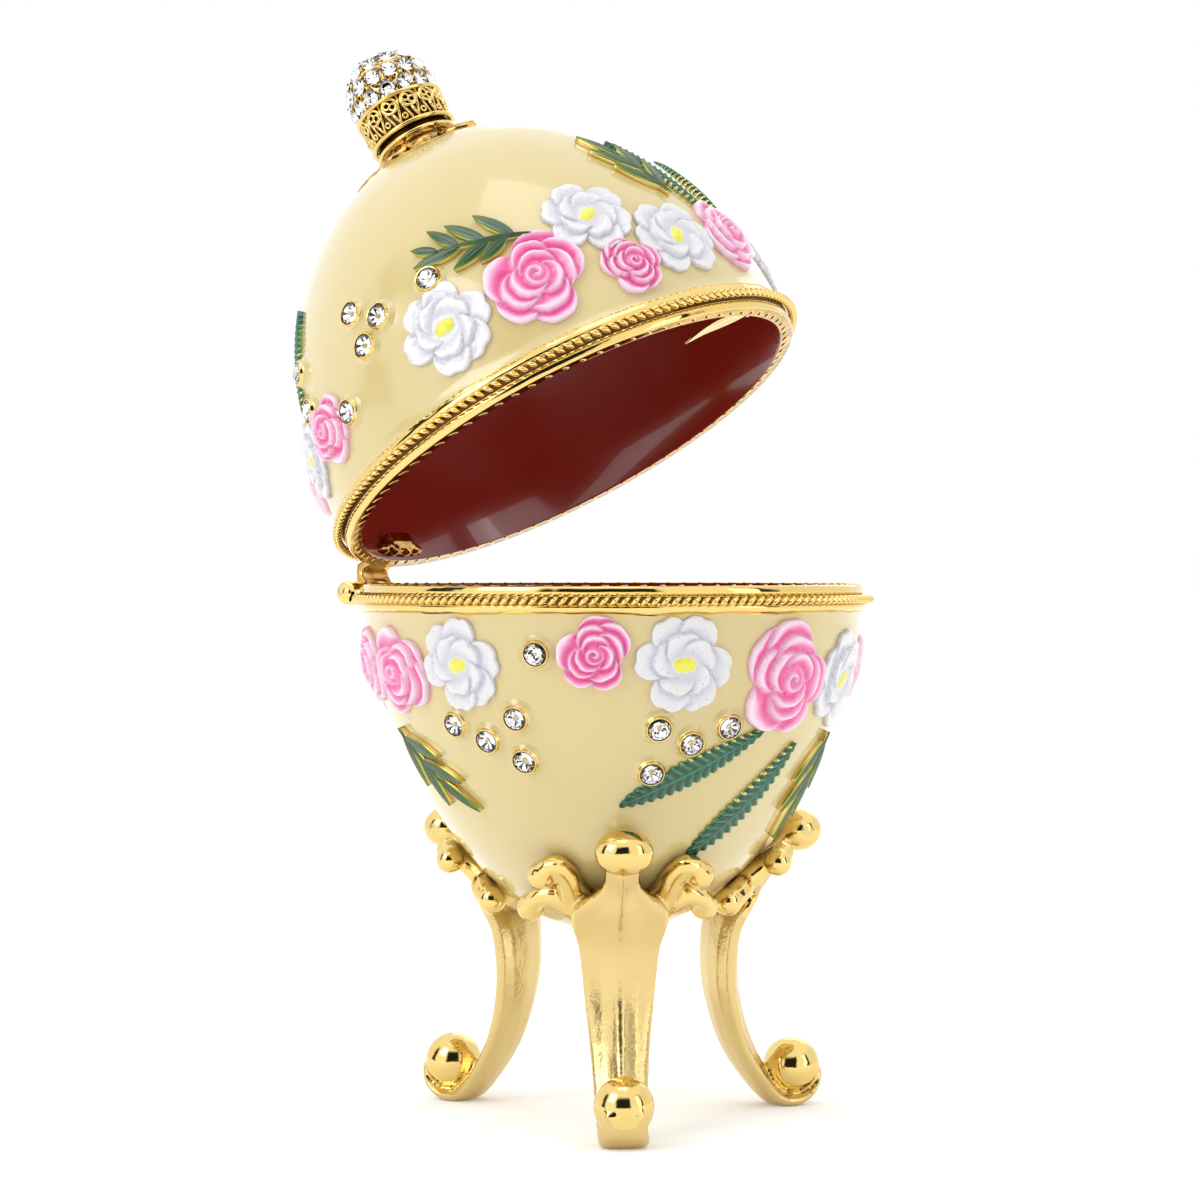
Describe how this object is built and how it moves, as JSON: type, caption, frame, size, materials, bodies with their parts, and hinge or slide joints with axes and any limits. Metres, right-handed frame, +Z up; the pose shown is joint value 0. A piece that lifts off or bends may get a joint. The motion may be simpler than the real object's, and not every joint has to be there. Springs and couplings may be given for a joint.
{
  "type": "jewelled egg trinket box",
  "caption": "Hollow enamelled metal egg on three scrolled legs, with a hinged lid, relief flowers and set stones, for keeping small trinkets.",
  "frame": {"origin": "middle of the footprint box on the floor, with the lid open as built", "axes": "+Z up, +Y towards the hinge at the back, -Y towards the catch at the front"},
  "size_m": [0.0618, 0.0697, 0.1288],
  "materials": {
    "cream_enamel": "glossy cream enamel over cast metal, dark red inside",
    "gold_plate": "polished gold plate over cast metal",
    "crystal": "clear foil-backed round-cut glass"
  },
  "bodies": {
    "bowl": {"bowl": "cream_enamel", "leg_back": "gold_plate", "leg_left": "gold_plate", "leg_right": "gold_plate", "hinge_bowl_leaf": "gold_plate", "hinge_pin": "gold_plate", "bowl_stone_01": "crystal", "bowl_stone_02": "crystal", "bowl_stone_03": "crystal", "bowl_stone_04": "crystal", "bowl_stone_05": "crystal", "bowl_stone_06": "crystal", "bowl_stone_07": "crystal", "bowl_stone_08": "crystal", "bowl_stone_09": "crystal", "bowl_stone_10": "crystal", "bowl_stone_11": "crystal"},
    "lid": {"lid": "cream_enamel", "finial": "gold_plate", "hinge_lid_leaf": "gold_plate", "catch_tongue": "gold_plate", "lid_stone_01": "crystal", "lid_stone_02": "crystal", "lid_stone_03": "crystal", "lid_stone_04": "crystal", "lid_stone_05": "crystal", "lid_stone_06": "crystal", "lid_stone_07": "crystal", "lid_stone_08": "crystal", "lid_stone_09": "crystal"}
  },
  "joints": [
    {"name": "lid_hinge", "type": "hinge", "parent": "bowl", "child": "lid", "pos_m": [0, 0.0295, 0.0619], "axis": [-1, 0, 0], "range_deg": [-30.5, 34.5]}
  ]
}
